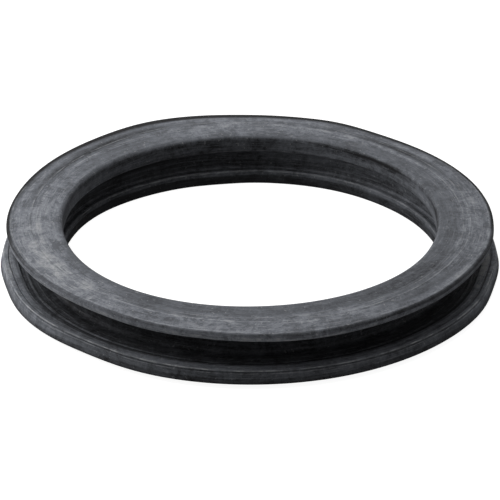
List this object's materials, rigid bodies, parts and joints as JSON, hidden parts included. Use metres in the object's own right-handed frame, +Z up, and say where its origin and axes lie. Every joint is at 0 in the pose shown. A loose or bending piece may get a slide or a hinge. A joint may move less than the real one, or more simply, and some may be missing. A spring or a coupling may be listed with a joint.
{
  "type": "bath waste seal",
  "caption": "Round moulded rubber seal ring with an upper and a lower flange, a groove between them for the edge of a bath, and a recessed bore with two lips.",
  "frame": {"origin": "centre of the ring, in the plane of its underside", "axes": "+Z up along the axis of the ring, towards the upper flange; the ring is the same all round"},
  "size_m": [0.064, 0.064, 0.0072],
  "materials": {
    "black_rubber": "matte, with a faint grey bloom"
  },
  "bodies": {
    "root": {"seal_ring": "black_rubber"}
  },
  "joints": []
}
